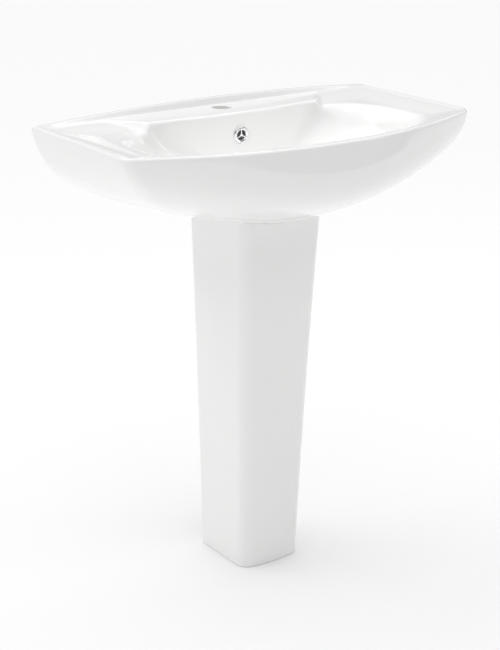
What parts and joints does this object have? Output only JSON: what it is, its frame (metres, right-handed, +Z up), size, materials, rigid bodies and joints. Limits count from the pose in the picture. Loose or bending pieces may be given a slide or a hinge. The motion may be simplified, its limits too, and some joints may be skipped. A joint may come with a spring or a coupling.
{
  "type": "pedestal sink",
  "caption": "Free-standing washbasin on a hollow column, with tap hole, overflow, push-to-close waste, bottle trap and wall fixings.",
  "frame": {"origin": "bottom centre of the whole assembly's box, on the floor; the wall plane is 179 mm behind it", "axes": "+Z up, -Y towards the user, X = 0 the plane of symmetry, +Y into the wall"},
  "size_m": [0.7256, 0.4775, 0.8629],
  "materials": {
    "glazed_china": "glossy white glaze",
    "black_rubber": "matt",
    "chrome": "polished",
    "brass": "turned, unpolished",
    "white_plastic": "moulded, satin",
    "grey_plastic": "moulded, matt",
    "zinc_steel": "zinc plated"
  },
  "bodies": {
    "sink": {"basin": "glazed_china", "pedestal": "glazed_china", "seat_pads": "black_rubber", "waste_flange_seal": "black_rubber", "waste_cone_seal": "black_rubber", "trap_inlet_seal": "black_rubber", "trap_neck_seal": "black_rubber", "trap_outlet_seal": "black_rubber", "overflow_ring": "chrome", "waste_body": "chrome", "waste_back_nut": "brass", "click_cartridge": "brass", "trap_inlet_nut": "white_plastic", "trap_dip_pipe": "white_plastic", "trap_body": "white_plastic", "trap_neck_nut": "white_plastic", "trap_outlet_nut": "white_plastic", "outlet_pipe": "white_plastic", "waste_washer": "grey_plastic", "wall_bushes": "grey_plastic", "wall_studs": "zinc_steel", "wall_washers": "zinc_steel", "wall_nuts": "zinc_steel"},
    "waste_plug": {"plug_cap": "chrome", "plug_seal": "black_rubber", "plug_stem": "brass"},
    "trap_cup_body": {"trap_cup": "white_plastic", "trap_cup_seal": "black_rubber"}
  },
  "joints": [
    {"name": "waste_plug_slide", "type": "slide", "parent": "sink", "child": "waste_plug", "axis": [0, 0, 1], "range_m": [0, 0.01]},
    {"name": "trap_cup_slide", "type": "slide", "parent": "sink", "child": "trap_cup_body", "axis": [0, 0, -1], "range_m": [0, 0.03]}
  ]
}
